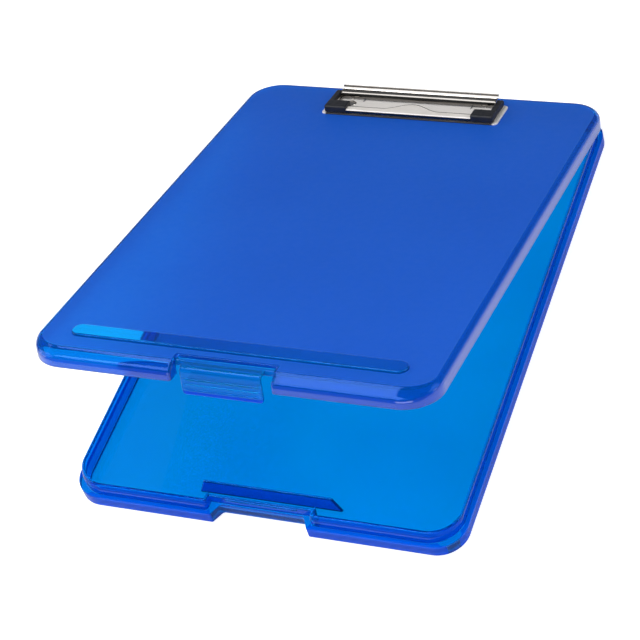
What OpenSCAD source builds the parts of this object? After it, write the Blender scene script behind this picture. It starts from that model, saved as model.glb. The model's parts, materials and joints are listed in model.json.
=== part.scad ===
// Storage clipboard: a shallow tray with a hinged writing lid, a snap latch flap
// and a low sprung paper clip on the lid. Millimetres, +Z up, +Y towards the hinge.
// The origin is the centre of the tray's underside.

/* [Case] */
// Overall width of the tray and lid
case_w = 236; // [200:1:300]
// Overall length of the tray and lid, front face to back face
case_l = 330; // [260:1:400]
// Plan radius of the lid's corners, which the tray's rim follows
corner_r = 20.5; // [18:0.5:30]
// Plan radius of the corners of the tray's lower band
band_corner_r = 17; // [14:0.5:20]
// Angle by which the lid stands open at rest
lid_open = 17; // [0:0.5:120]

/* [Tray] */
// Thickness of the tray floor
floor_t = 2; // [1.5:0.1:3]
// Height of the tray's lower band, up to the ledge under the lid
band_h = 8; // [7:0.1:8]
// Height of the tray's upper rim
rim_h = 15.2; // [14.5:0.1:15.6]
// Step from the outer face in to the upper rim
rim_inset = 2.3; // [2.2:0.1:3]
// Thickness of the upper rim
rim_t = 1.8; // [1.2:0.1:3]

/* [Lid] */
// Height of the writing surface above the tray's underside
lid_top = 18.5; // [18.5:0.1:18.8]
// Thickness of the lid's skirt
skirt_t = 1.9; // [1.5:0.1:2]
// Thickness of the writing surface
lid_t = 2; // [1.6:0.1:2.4]
// Length of the raised rib on the writing surface
rib_l = 196; // [120:1:196]
// Width of the raised rib
rib_w = 11; // [6:0.5:14]
// Height of the raised rib
rib_h = 1.6; // [0.8:0.1:2.5]

/* [Latch] */
// Width of the gap in the lid's skirt that the latch sits in
notch_w = 58; // [54:0.5:60]
// Width of the latch flap
flap_w = 47; // [40:0.5:48]
// Thickness of the latch flap
flap_t = 2; // [1.6:0.1:2.4]

/* [Clip] */
// Width of the clip's base plate
plate_w = 117; // [117:1:130]
// Thickness of the clip's base plate
plate_t = 1; // [0.8:0.1:1.2]
// Distance from the lid's back face to the front edge of the clip
clip_setback = 39.5; // [36:0.5:60]

/* [Hidden] */
$fn = 64;

blue_clear = [0.05, 0.36, 0.86];
blue_frosted = [0.17, 0.40, 0.82];
nickel = [0.80, 0.78, 0.75];
steel = [0.66, 0.67, 0.70];
rubber = [0.10, 0.10, 0.12];

// A cut reaches this far past the face that it opens, and joined shapes share this much
over = 0.5;
// Gap between faces that move past each other
gap = 0.3;
// Radial clearance of a shaft in the bore that turns on it
run = 0.05;

// Latch recess of the tray: a tapered notch in the lower band, a square one in the rim
recess_front_w = 59.2;
recess_back_w = 50.2;
recess_depth = 7.5;
rim_recess_w = 62.6;
rim_recess_depth = 8.5;
recess_wall_back = 10.3;
recess_wall_h = 13.3;

// Catch bead on the recess wall
bead_w = 44;
bead_r = 0.9;
bead_z = 12;

// Wall that keeps a pen between itself and the recess wall
pen_wall_y = 18;
pen_wall_t = 2;
pen_wall_h = 12.5;
pen_wall_top_w = 78;
pen_wall_base_w = 88;

// Hinge: two groups, each a lid knuckle between two tray knuckles on a steel pin
hinge_setback = 4.5;
hinge_y = case_l / 2 + hinge_setback;
hinge_z = 8.5;
hinge_x = 78;
knuckle_r = 3.4;
tray_knuckle_l = 10;
lid_knuckle_l = 19.4;
pin_r = 1.25;
hinge_group_l = lid_knuckle_l + 2 * (tray_knuckle_l + gap);

// Lid: the skirt ends a little above the ledge, and its top edge is rounded
skirt_z = band_h + 0.8;
edge_r = 3.5;
rib_y = 23;

// Pocket of the lid that holds the latch
notch_depth = 12;
pocket_t = 1.9;
cheek_drop_depth = 8.1;
cheek_upper_z = recess_wall_h + gap;

// Latch
latch_y = 9.5;
latch_z = 15.9;
latch_barrel_r = 2.1;
latch_bore_r = 1.45;
flap_front = 0.8;
flap_bottom = 1;
flap_bend_r = 3;
flap_corner = 4.5;
arm_top = latch_z + latch_barrel_r;
grip_r = 0.7;
grip_heights = [4.5, 7.8, 11.1];
hook_w = 40;
hook_z = 9.3;
hook_t = 1.4;
hook_reach = 8.2;

// Clip, in its own frame: y from the plate's front edge, z from the writing surface
plate_d = 25.5;
plate_corner_r = 2;
rod_y = 22.5;
rod_z = 3.6;
rod_r = 1;
ear_x = 44.9;
ear_t = 1;
ear_r = 2;
ear_w = 3.4;
rivet_x = 43.5;
rivet_y = 15;
rivet_r = 1.6;
rivet_head_r = 3.5;
rivet_head_h = 1.1;
rivet_tail_r = 2.6;
rivet_tail_h = 0.7;
washer_r = 4;
washer_t = 0.6;

// Jaw: a front bar with a lip, two side arms and a rolled lever, in one sheet
sheet_t = 0.8;
bar_front = 0.5;
bar_back = 5.9;
bar_top = 4;
bar_w = 111;
lip_z = plate_t + gap;
hump_w = 38;
hump_rise = 7.6;
arm_z = 2.4;
boss_r = rod_z - plate_t - gap;
roll_r = 3.1;
roll_from = 5;
roll_to = 205;
fin_angle = 35;
curl_y = 3.9;
curl_z = 4.1;
curl_r = 1;

// Corner pads, with the lever and the rod's ends between them
pad_w = 15;
pad_outer = 56.5;
pad_inner = 52.3;
lever_w = 2 * (pad_inner - gap);
rod_l = lever_w + 2 * (sheet_t - 0.1);
pad_front = 0.1;
pad_leg_d = 9.4;
pad_top = 6;
pad_bottom = plate_t + gap;

// Torsion springs
wire_r = 0.35;
coil_r = 1.5;
coil_turns = 6.5;
coil_x = 36;
coil_pitch = 0.78;
steps_per_turn = 12;
wire_sides = 6;
foot_z = plate_t + wire_r + 0.05;

// y of a point that lies this far behind the front face
function from_front(d) = d - case_l / 2;

// The pose of everything on the lid: turned open about the hinge
module lid_pose() {
    translate([0, hinge_y, hinge_z])
        rotate([-lid_open, 0, 0])
            translate([0, -hinge_y, -hinge_z])
                children();
}

// The clip's own frame, on the lid
module clip_pose() {
    lid_pose()
        translate([0, case_l / 2 - clip_setback, lid_top])
            children();
}

// Extrudes a y-z outline along x, centred
module along_x(length) {
    rotate([90, 0, 90])
        linear_extrude(length, center = true)
            children();
}

// Cylinder along x, centred at x
module x_rod(x, r, length) {
    translate([x, 0, 0])
        rotate([0, 90, 0])
            cylinder(r = r, h = length, center = true);
}

// Rounded rectangle, centred
module rounded_outline(w, l, r) {
    square([w - 2 * r, l], center = true);
    square([w, l - 2 * r], center = true);
    for (side = [-1, 1], end = [-1, 1])
        translate([side * (w / 2 - r), end * (l / 2 - r)])
            circle(r = r);
}

// The outline of the lid and rim, set in from the case's faces by the same distance all round
module case_outline(inset) {
    rounded_outline(case_w - 2 * inset, case_l - 2 * inset, corner_r - inset);
}

// Block at the middle of the front, from a distance in front of the case to a depth
module front_block(w, depth, z_low, z_high) {
    translate([-w / 2, from_front(-over), z_low])
        cube([w, depth + over, z_high - z_low]);
}

// ---- Tray ----

module recess_outline() {
    half_front = recess_front_w / 2;
    half_back = recess_back_w / 2;
    polygon([
        [-half_front, from_front(-over)],
        [half_front, from_front(-over)],
        [half_front, from_front(0)],
        [half_back, from_front(recess_depth)],
        [-half_back, from_front(recess_depth)],
        [-half_front, from_front(0)]
    ]);
}

module tray_cavity() {
    translate([0, 0, floor_t])
        linear_extrude(rim_h)
            difference() {
                case_outline(rim_inset + rim_t);
                translate([-rim_recess_w / 2 - rim_t, from_front(0)])
                    square([rim_recess_w + 2 * rim_t, recess_wall_back]);
            }
}

module tray_shell() {
    difference() {
        union() {
            linear_extrude(band_h)
                difference() {
                    rounded_outline(case_w, case_l, band_corner_r);
                    recess_outline();
                }
            translate([0, 0, floor_t])
                linear_extrude(rim_h - floor_t)
                    difference() {
                        case_outline(rim_inset);
                        translate([-rim_recess_w / 2, from_front(0)])
                            square([rim_recess_w, rim_recess_depth]);
                    }
        }
        tray_cavity();
        front_block(rim_recess_w, recess_wall_back + over, recess_wall_h, rim_h + over);
    }
}

module catch_bead() {
    translate([0, from_front(rim_recess_depth), bead_z])
        x_rod(0, bead_r, bead_w);
}

module pen_wall() {
    half_top = pen_wall_top_w / 2;
    half_base = pen_wall_base_w / 2;
    translate([0, from_front(pen_wall_y + pen_wall_t), 0])
        rotate([90, 0, 0])
            linear_extrude(pen_wall_t)
                polygon([
                    [-half_base, floor_t - over],
                    [half_base, floor_t - over],
                    [half_top, pen_wall_h],
                    [-half_top, pen_wall_h]
                ]);
}

// One knuckle with the bracket that joins it to the wall in front of it
module knuckle(x, length, bracket_low, bracket_high) {
    translate([0, hinge_y, hinge_z])
        x_rod(x, knuckle_r, length);
    translate([x - length / 2, case_l / 2 - over, bracket_low])
        cube([length, hinge_setback + over, bracket_high - bracket_low]);
}

module hinge_bore(r) {
    for (side = [-1, 1])
        translate([0, hinge_y, hinge_z])
            x_rod(side * hinge_x, r, hinge_group_l + 2 * over);
}

module base_tray() {
    knuckle_offset = (lid_knuckle_l + tray_knuckle_l) / 2 + gap;
    color(blue_clear)
        difference() {
            union() {
                tray_shell();
                catch_bead();
                pen_wall();
                for (side = [-1, 1], end = [-1, 1])
                    knuckle(side * hinge_x + end * knuckle_offset, tray_knuckle_l,
                        hinge_z - knuckle_r, band_h);
            }
            hinge_bore(pin_r);
        }
}

module hinge_pin(side) {
    color(steel)
        translate([0, hinge_y, hinge_z])
            x_rod(side * hinge_x, pin_r, hinge_group_l);
}

// ---- Lid ----

// Cross-section of the lid's edge: the outer face is at x = corner_r, its top edge rounded
module edge_block(face_x, z_low, z_high, round_r) {
    translate([0, z_low])
        square([face_x - round_r, z_high - z_low]);
    translate([0, z_low])
        square([face_x, z_high - round_r - z_low]);
    translate([face_x - round_r, z_high - round_r])
        circle(r = round_r);
}

module edge_section() {
    difference() {
        edge_block(corner_r, skirt_z, lid_top, edge_r);
        translate([-over, 0])
            edge_block(corner_r - skirt_t + over, skirt_z - over, lid_top - lid_t, edge_r - skirt_t);
    }
}

// One straight edge of the lid, with its outer face towards +X
module straight_edge(face_x, length) {
    translate([face_x - corner_r, 0, 0])
        rotate([90, 0, 0])
            linear_extrude(length, center = true)
                edge_section();
}

// Writing surface and skirt, before the pocket is cut
module lid_pan() {
    flat_w = case_w - 2 * corner_r;
    flat_l = case_l - 2 * corner_r;
    translate([-flat_w / 2, -flat_l / 2, lid_top - lid_t])
        cube([flat_w, flat_l, lid_t]);
    for (turn = [0, 180])
        rotate([0, 0, turn])
            straight_edge(case_w / 2, flat_l);
    for (turn = [90, 270])
        rotate([0, 0, turn])
            straight_edge(case_l / 2, flat_w);
    for (side = [0, 1], end = [0, 1])
        mirror([side, 0, 0])
            mirror([0, end, 0])
                translate([flat_w / 2, flat_l / 2, 0])
                    rotate_extrude(angle = 90)
                        edge_section();
}

// Side view of a cheek beside the latch: it reaches down in front of the recess wall only
module cheek_profile() {
    depth = notch_depth + pocket_t;
    translate([0, skirt_z])
        square([cheek_drop_depth, lid_top - edge_r - skirt_z]);
    translate([0, cheek_upper_z])
        square([depth, lid_top - edge_r - cheek_upper_z]);
    translate([edge_r, lid_top - edge_r])
        circle(r = edge_r);
    translate([edge_r, cheek_upper_z])
        square([depth - edge_r, lid_top - cheek_upper_z]);
}

// Cheeks beside the latch and the short wall behind it
module pocket_walls() {
    for (side = [-1, 1])
        translate([side * (notch_w + pocket_t) / 2, from_front(0), 0])
            along_x(pocket_t)
                cheek_profile();
    translate([-notch_w / 2 - pocket_t, from_front(notch_depth), cheek_upper_z])
        cube([notch_w + 2 * pocket_t, pocket_t, lid_top - cheek_upper_z]);
}

module writing_rib() {
    half_run = (rib_l - rib_w) / 2;
    translate([0, from_front(rib_y), lid_top - over])
        linear_extrude(rib_h + over) {
            square([2 * half_run, rib_w], center = true);
            for (side = [-1, 1])
                translate([side * half_run, 0])
                    circle(d = rib_w);
        }
}

module rivet_holes() {
    for (side = [-1, 1])
        translate([side * rivet_x, case_l / 2 - clip_setback + rivet_y, lid_top - lid_t - over])
            cylinder(r = rivet_r, h = lid_t + 2 * over);
}

module lid_shell() {
    color(blue_frosted)
        lid_pose()
            difference() {
                union() {
                    lid_pan();
                    pocket_walls();
                    writing_rib();
                    for (side = [-1, 1])
                        knuckle(side * hinge_x, lid_knuckle_l, hinge_z + 0.8,
                            hinge_z + knuckle_r);
                }
                front_block(notch_w, notch_depth, 0, lid_top + over);
                translate([0, from_front(latch_y), latch_z])
                    x_rod(0, latch_bore_r, notch_w + 2 * pocket_t + 2 * over);
                hinge_bore(pin_r + run);
                rivet_holes();
            }
}

// ---- Latch ----

// Arm, bend and flap in one y-z outline, measured from the front face
module flap_profile() {
    bend_y = flap_front + flap_bend_r;
    bend_z = arm_top - flap_bend_r;
    translate([flap_front, flap_bottom + flap_corner])
        square([flap_t, bend_z - flap_bottom - flap_corner]);
    translate([bend_y, arm_top - flap_t])
        square([latch_y - bend_y, flap_t]);
    translate([bend_y, bend_z])
        intersection() {
            difference() {
                circle(r = flap_bend_r);
                circle(r = flap_bend_r - flap_t);
            }
            translate([-flap_bend_r, 0])
                square(flap_bend_r);
        }
    translate([flap_front + flap_t - over, hook_z])
        square([hook_reach - hook_t / 2 - flap_front - flap_t + over, hook_t]);
    translate([hook_reach - hook_t / 2, hook_z + hook_t / 2])
        circle(d = hook_t);
}

// Lower edge of the flap with its two corners cut off
module flap_tip() {
    half = flap_w / 2;
    translate([0, from_front(flap_front + flap_t), 0])
        rotate([90, 0, 0])
            linear_extrude(flap_t)
                polygon([
                    [-half + flap_corner, flap_bottom],
                    [half - flap_corner, flap_bottom],
                    [half, flap_bottom + flap_corner],
                    [half, flap_bottom + flap_corner + over],
                    [-half, flap_bottom + flap_corner + over],
                    [-half, flap_bottom + flap_corner]
                ]);
}

module latch_flap() {
    color(blue_clear)
        lid_pose() {
            difference() {
                translate([0, from_front(0), 0])
                    along_x(flap_w)
                        flap_profile();
                for (side = [-1, 1])
                    translate([side * (hook_w + flap_w) / 2, from_front(5 + flap_front + flap_t), hook_z])
                        cube([flap_w - hook_w, 10, 4 * hook_t], center = true);
            }
            flap_tip();
            translate([0, from_front(latch_y), latch_z]) {
                x_rod(0, latch_barrel_r, notch_w - 2 * gap);
                x_rod(0, latch_bore_r - run, notch_w + 2 * pocket_t - 2 * gap);
            }
            for (z = grip_heights)
                translate([0, from_front(flap_front), z])
                    x_rod(0, grip_r, flap_w - 2 * flap_corner);
        }
}

// ---- Clip ----

module clip_base_plate() {
    color(nickel)
        clip_pose()
            difference() {
                union() {
                    translate([0, plate_d / 2, 0])
                        linear_extrude(plate_t)
                            rounded_outline(plate_w, plate_d, plate_corner_r);
                    for (side = [-1, 1])
                        translate([side * ear_x, rod_y, 0]) {
                            along_x(ear_t)
                                translate([-ear_w / 2, plate_t - over])
                                    square([ear_w, rod_z - plate_t + over]);
                            translate([0, 0, rod_z])
                                x_rod(0, ear_r, ear_t);
                        }
                }
                translate([0, rod_y, rod_z])
                    x_rod(0, rod_r, plate_w);
                for (side = [-1, 1])
                    translate([side * rivet_x, rivet_y, -over])
                        cylinder(r = rivet_r, h = plate_t + 2 * over);
            }
}

// Tubular rivet: a domed head on the plate, a shank, and a rolled tail under the washer
module clip_rivet(side) {
    tail_z = -lid_t - washer_t;
    dome_r = (rivet_head_r * rivet_head_r + rivet_head_h * rivet_head_h) / (2 * rivet_head_h);
    color(nickel)
        clip_pose()
            translate([side * rivet_x, rivet_y, 0]) {
                intersection() {
                    translate([0, 0, plate_t])
                        cylinder(r = rivet_head_r, h = rivet_head_h);
                    translate([0, 0, plate_t + rivet_head_h - dome_r])
                        sphere(r = dome_r);
                }
                translate([0, 0, tail_z])
                    cylinder(r = rivet_r, h = plate_t - tail_z);
                translate([0, 0, tail_z - rivet_tail_h])
                    cylinder(r = rivet_tail_r, h = rivet_tail_h);
            }
}

module rivet_washer(side) {
    color(nickel)
        clip_pose()
            translate([side * rivet_x, rivet_y, -lid_t - washer_t])
                difference() {
                    cylinder(r = washer_r, h = washer_t);
                    translate([0, 0, -over])
                        cylinder(r = rivet_r, h = washer_t + 2 * over);
                }
}

module clip_pivot_rod() {
    color(steel)
        clip_pose()
            translate([0, rod_y, rod_z])
                x_rod(0, rod_r, rod_l);
}

// Wedge of a circle between two angles, up to 90 degrees at a time
module wedge(r, from, to) {
    reach = 2 * r;
    middle = (from + to) / 2;
    polygon([
        [0, 0],
        [reach * cos(from), reach * sin(from)],
        [reach * cos(middle), reach * sin(middle)],
        [reach * cos(to), reach * sin(to)]
    ]);
}

// The disc's part between the two ends of the roll
module roll_sector(r) {
    step = (roll_to - roll_from) / 4;
    intersection() {
        circle(r = r);
        for (i = [0 : 3])
            wedge(r, roll_from + i * step, roll_from + (i + 1) * step);
    }
}

// Roll around the rod, fin and curled edge, measured from the rod
module lever_profile() {
    fin_r = roll_r - sheet_t / 2;
    fin_start = [fin_r * cos(fin_angle), fin_r * sin(fin_angle)];
    fin_run = [curl_y, curl_z] - fin_start;
    difference() {
        union() {
            roll_sector(roll_r);
            translate(fin_start)
                rotate(atan2(fin_run[1], fin_run[0]))
                    translate([0, -sheet_t / 2])
                        square([norm(fin_run), sheet_t]);
        }
        circle(r = roll_r - sheet_t);
    }
    translate([curl_y, curl_z])
        circle(r = curl_r);
}

// Side arm with its boss, measured from the rod
module arm_profile() {
    difference() {
        union() {
            circle(r = boss_r);
            roll_sector(roll_r);
            translate([bar_front - rod_y, arm_z - rod_z])
                square([rod_y - bar_front, bar_top - arm_z]);
        }
        circle(r = rod_r + run);
    }
}

// Front bar seen from above: straight, with a smooth hump at the middle of its back edge
module bar_outline() {
    hump_points = [for (i = [0 : 16]) let (t = i / 16)
        [hump_w * (0.5 - t), bar_back + hump_rise * (1 - cos(360 * t)) / 2]];
    polygon(concat(
        [[-bar_w / 2, bar_front], [bar_w / 2, bar_front], [bar_w / 2, bar_back]],
        hump_points,
        [[-bar_w / 2, bar_back]]
    ));
}

module jaw_solid() {
    translate([0, 0, bar_top - sheet_t])
        linear_extrude(sheet_t)
            bar_outline();
    translate([-bar_w / 2, bar_front, lip_z])
        cube([bar_w, sheet_t, bar_top - lip_z]);
    translate([0, rod_y, rod_z]) {
        along_x(lever_w)
            lever_profile();
        for (side = [-1, 1])
            translate([side * (lever_w + sheet_t) / 2, 0, 0])
                along_x(sheet_t)
                    arm_profile();
    }
}

module clip_jaw() {
    color(nickel)
        clip_pose()
            jaw_solid();
}

// L-shaped rubber pad moulded around one front corner of the jaw
module corner_pad(side) {
    inner_x = min(side * pad_inner, side * pad_outer);
    front_x = min(side * (pad_outer - pad_w), side * pad_outer);
    color(rubber)
        clip_pose()
            difference() {
                union() {
                    translate([front_x, pad_front, pad_bottom])
                        cube([pad_w, pad_leg_d, pad_top - pad_bottom]);
                    translate([inner_x, pad_front, pad_bottom])
                        cube([pad_outer - pad_inner, rod_y - pad_front, pad_top - pad_bottom]);
                    translate([0, rod_y, rod_z])
                        x_rod(side * (pad_outer + pad_inner) / 2, boss_r, pad_outer - pad_inner);
                }
                jaw_solid();
                translate([0, rod_y, rod_z])
                    x_rod(0, rod_r + run, rod_l + 2 * gap);
            }
}

// ---- Torsion springs ----

// Centre line of the wire, measured from the rod: foot, leg, coil and inner leg
function coil_point(i) = let (a = 180 + 360 * i / steps_per_turn)
    [coil_pitch * i / steps_per_turn, coil_r * cos(a), -coil_r * sin(a)];
coil_count = steps_per_turn * coil_turns;
spring_line = concat(
    [[0, -5, foot_z - rod_z], [0, -coil_r - 0.4, foot_z - rod_z], [0, -coil_r, foot_z - rod_z + 0.4]],
    [for (i = [0 : coil_count]) coil_point(i)]
);

// Closed tube of wire_sides sides swept along the points
module wire_tube(points) {
    last = len(points) - 1;
    rings = [for (i = [0 : last])
        let (
            before = points[max(i - 1, 0)],
            after = points[min(i + 1, last)],
            ahead = (after - before) / norm(after - before),
            across = cross(ahead, [1, 0.001, 0]),
            u = across / norm(across),
            v = cross(ahead, u)
        )
        for (k = [0 : wire_sides - 1])
            points[i] + wire_r * (u * cos(360 * k / wire_sides) + v * sin(360 * k / wire_sides))
    ];
    sides = [for (i = [0 : last - 1], k = [0 : wire_sides - 1])
        let (next = (k + 1) % wire_sides, low = i * wire_sides, high = low + wire_sides)
        [low + k, low + next, high + next, high + k]
    ];
    start_cap = [for (k = [wire_sides - 1 : -1 : 0]) k];
    end_cap = [for (k = [0 : wire_sides - 1]) last * wire_sides + k];
    polyhedron(rings, concat([start_cap], sides, [end_cap]));
}

module clip_spring(side) {
    color(steel)
        clip_pose()
            translate([side * coil_x, rod_y, rod_z])
                mirror([side < 0 ? 1 : 0, 0, 0])
                    wire_tube(spring_line);
}

base_tray();
hinge_pin(-1);  // hinge_pin_left
hinge_pin(1);  // hinge_pin_right
lid_shell();
latch_flap();
clip_base_plate();
clip_rivet(-1);  // clip_rivet_left
clip_rivet(1);  // clip_rivet_right
rivet_washer(-1);  // rivet_washer_left
rivet_washer(1);  // rivet_washer_right
clip_pivot_rod();
clip_spring(-1);  // clip_spring_left
clip_spring(1);  // clip_spring_right
clip_jaw();
corner_pad(-1);  // corner_pad_left
corner_pad(1);  // corner_pad_right
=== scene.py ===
import json
import math

import bmesh
import bpy
from mathutils import Matrix, Vector


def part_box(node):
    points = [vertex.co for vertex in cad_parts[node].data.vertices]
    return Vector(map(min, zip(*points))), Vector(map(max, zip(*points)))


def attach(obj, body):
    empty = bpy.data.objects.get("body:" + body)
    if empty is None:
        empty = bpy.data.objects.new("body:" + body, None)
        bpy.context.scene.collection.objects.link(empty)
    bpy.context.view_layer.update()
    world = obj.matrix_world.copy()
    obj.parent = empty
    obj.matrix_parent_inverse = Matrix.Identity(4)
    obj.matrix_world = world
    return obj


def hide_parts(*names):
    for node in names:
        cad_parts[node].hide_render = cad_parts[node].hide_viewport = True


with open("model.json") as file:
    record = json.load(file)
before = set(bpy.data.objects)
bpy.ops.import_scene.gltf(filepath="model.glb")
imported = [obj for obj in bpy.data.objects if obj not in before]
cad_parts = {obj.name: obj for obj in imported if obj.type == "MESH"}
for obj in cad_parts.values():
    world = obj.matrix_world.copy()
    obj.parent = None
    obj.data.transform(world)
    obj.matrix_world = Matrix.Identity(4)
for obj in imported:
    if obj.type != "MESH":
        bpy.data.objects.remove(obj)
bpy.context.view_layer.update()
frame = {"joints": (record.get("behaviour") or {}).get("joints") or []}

# Shapes are built in millimetres, with the lid closed, and posed and scaled to metres at the end.
MM = 0.001

# ---- Sizes from the frame ----

case_low, case_high = (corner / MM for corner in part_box("base_tray"))
HALF_W = case_high.x
FRONT = case_low.y
BACK = -FRONT
RIM_TOP = case_high.z
joints = {joint["name"]: joint for joint in frame["joints"]}


def joint_point(name):
    return Vector(joints[name]["pos_m"]) / MM


HINGE = joint_point("lid_hinge")
LID_OPEN = math.radians(-joints["lid_hinge"]["range_deg"][0])
LID_POSE = Matrix.Translation(HINGE) @ Matrix.Rotation(-LID_OPEN, 4, "X") @ Matrix.Translation(-HINGE)
LATCH = LID_POSE.inverted() @ joint_point("latch_pivot")
ROD = LID_POSE.inverted() @ joint_point("clip_jaw_pivot")

# ---- Sizes of the details ----

CORNER_R = 20.5
BAND_CORNER_R = 17
CORNER_STEPS = 20
NOTCH_STEPS = 6
BAND_H = 8
FLOOR_T = 2
RIM_INSET = 2.3
RIM_T = 1.8
RIM_LEAN = 1.3
BEHIND_LATCH_TOP = 13.3
BEAD_Z, BEAD_R = 11.6, 0.9
HINGE_X = 78
LID_TOP = 18.5
LID_T = 2
SKIRT_T = 1.9
SKIRT_Z = 8.8
PLATE_T = 1
RIVET_X, RIVET_Y = 43.5, 15
SHEET_T = 0.8
CLIP = Vector((0, ROD.y - 22.5, LID_TOP))
ROD_Y = 22.5
ROD_Z = ROD.z - LID_TOP


# ---- Outlines ----


def clamp(value):
    return min(1.0, max(0.0, value))


def rounded_corner(before, at, after, radius, steps):
    """steps + 1 points that round the corner of a polyline; a plain corner if radius is 0."""
    if radius <= 0:
        return [at.copy()]
    to_before, to_after = (before - at).normalized(), (after - at).normalized()
    half = to_before.angle(to_after) / 2
    if half > math.radians(89):
        return [at.copy() for _ in range(steps + 1)]
    centre = at + (to_before + to_after).normalized() * (radius / math.sin(half))
    start = at + to_before * (radius / math.tan(half)) - centre
    end = at + to_after * (radius / math.tan(half)) - centre
    first = math.atan2(start.y, start.x)
    turn = math.remainder(math.atan2(end.y, end.x) - first, 2 * math.pi)
    return [centre + Vector((math.cos(first + turn * i / steps), math.sin(first + turn * i / steps))) * radius
            for i in range(steps + 1)]


def rounded_polygon(corners):
    """Closed outline from (x, y, radius, steps) corners."""
    points = []
    flat = [Vector(c[:2]) for c in corners]
    for i, (_, _, radius, steps) in enumerate(corners):
        points += rounded_corner(flat[i - 1], flat[i], flat[(i + 1) % len(flat)], radius, steps)
    return points


def case_corner(end, side, along, radius):
    """Quarter of an ellipse round a right-hand corner of the case; end is -1 at the front."""
    radius = max(radius, side + 2, along + 2)
    centre = Vector((HALF_W - radius, end * (BACK - radius)))
    reach_x, reach_y = radius - side, radius - along
    first = -90 if end < 0 else 0
    angles = [math.radians(first + 90 * i / CORNER_STEPS) for i in range(CORNER_STEPS + 1)]
    return [centre + Vector((reach_x * math.cos(a), reach_y * math.sin(a))) for a in angles]


def case_ring(side, front, back, notch, radius=CORNER_R):
    """The case's outline from above, set in by side, front and back, as (x, y, in the notch).
    notch lists the right half of the notch from its middle out, as rounded_polygon's corners."""
    flat = [Vector(c[:2]) for c in notch]
    points = []
    for i, (_, _, bend, steps) in enumerate(notch):
        before = flat[i - 1] if i else Vector((-flat[0].x, flat[0].y))
        after = flat[i + 1] if i + 1 < len(flat) else Vector((HALF_W - radius, FRONT + front))
        points += [(p, True) for p in rounded_corner(before, flat[i], after, bend, steps)]
    points += [(p, False) for p in case_corner(-1, side, front, radius) + case_corner(1, side, back, radius)]
    mirrored = [(Vector((-p.x, p.y)), inside) for p, inside in reversed(points)]
    return [(p.x, p.y, inside) for p, inside in points + mirrored]


# ---- Meshes ----


def add_loft(bm, rings):
    """Quads between rings of the same length, with a flat face over each end."""
    rows = [[bm.verts.new(p) for p in ring] for ring in rings]
    count = len(rows[0])
    for low, high in zip(rows, rows[1:]):
        for k in range(count):
            bm.faces.new((low[k], low[(k + 1) % count], high[(k + 1) % count], high[k]))
    bm.faces.new(rows[0][::-1])
    bm.faces.new(rows[-1])


def solid(add, *args, **kwargs):
    """An object in millimetres from a function that adds to a bmesh."""
    bm = bmesh.new()
    add(bm, *args, **kwargs)
    bmesh.ops.remove_doubles(bm, verts=bm.verts, dist=1e-4)
    bmesh.ops.recalc_face_normals(bm, faces=bm.faces)
    mesh = bpy.data.meshes.new("shape")
    bm.to_mesh(mesh)
    bm.free()
    obj = bpy.data.objects.new("shape", mesh)
    bpy.context.scene.collection.objects.link(obj)
    return obj


def boolean(obj, other, operation):
    """Joins or cuts with another solid, and applies it."""
    modifier = obj.modifiers.new("boolean", "BOOLEAN")
    modifier.operation = operation
    modifier.object = other
    modifier.solver = "EXACT"
    graph = bpy.context.evaluated_depsgraph_get()
    mesh = bpy.data.meshes.new_from_object(obj.evaluated_get(graph))
    obj.modifiers.clear()
    obj.data = mesh
    bpy.data.objects.remove(other)
    return obj


def lathe_rings(profile, axis, at, segments):
    """Rings of (position along the axis, radius) pairs."""
    rings = []
    for along, radius in profile:
        ring = []
        for k in range(segments):
            a = 2 * math.pi * k / segments
            u, v = radius * math.cos(a), radius * math.sin(a)
            offset = Vector((along, u, v)) if axis == "X" else Vector((u, v, along))
            ring.append(Vector(at) + offset)
        rings.append(ring)
    return rings


def add_lathe(bm, profile, axis, at=(0, 0, 0), segments=48):
    add_loft(bm, lathe_rings(profile, axis, at, segments))


def bar_profile(low, high, radius, edge):
    """Lathe profile of a bar with rounded ends."""
    angles = [math.radians(22.5 * i) for i in range(5)]
    arc = [(edge * (1 - math.sin(a)), edge * (1 - math.cos(a))) for a in angles]
    start = [(low + along, radius - drop) for along, drop in reversed(arc)]
    return start + [(high - along, radius - drop) for along, drop in arc]


def add_prism(bm, outline, axis, low, high, edge, steps=3):
    """A closed outline extruded along an axis with its edges rounded.
    Along X the outline is (y, z), along Z it is (x, y)."""
    arc = [math.radians(90 * i / steps) for i in range(steps + 1)]
    levels = [(low + edge * (1 - math.sin(a)), edge * (1 - math.cos(a))) for a in reversed(arc)]
    levels += [(high - edge * (1 - math.sin(a)), edge * (1 - math.cos(a))) for a in arc]
    rings = []
    for along, inset in levels:
        flat = inset_outline(outline, inset)
        rings.append([Vector((along, p.x, p.y)) if axis == "X" else Vector((p.x, p.y, along)) for p in flat])
    add_loft(bm, rings)


def inset_outline(outline, distance):
    """Moves a counter-clockwise outline inwards."""
    moved = []
    count = len(outline)
    for i, point in enumerate(outline):
        ahead = (outline[(i + 1) % count] - point).normalized()
        behind = (point - outline[i - 1]).normalized()
        a, b = Vector((-ahead.y, ahead.x)), Vector((-behind.y, behind.x))
        middle = (a + b).normalized()
        moved.append(point + middle * (distance / max(0.5, middle.dot(a))))
    return moved


def strip_ring(x, line, halves):
    """Ring at x round a sheet that follows a (y, z) line.
    halves gives its two half thicknesses at each point."""
    last = len(line) - 1
    left, right = [], []
    for i, point in enumerate(line):
        ahead = (line[min(i + 1, last)] - line[max(i - 1, 0)]).normalized()
        normal = Vector((-ahead.y, ahead.x))
        left.append(point + normal * halves[i][0])
        right.append(point - normal * halves[i][1])
    ring = left + end_cap(line[-1], left[-1], right[-1]) + right[::-1] + end_cap(line[0], right[0], left[0])
    return [Vector((x, p.x, p.y)) for p in ring]


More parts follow.
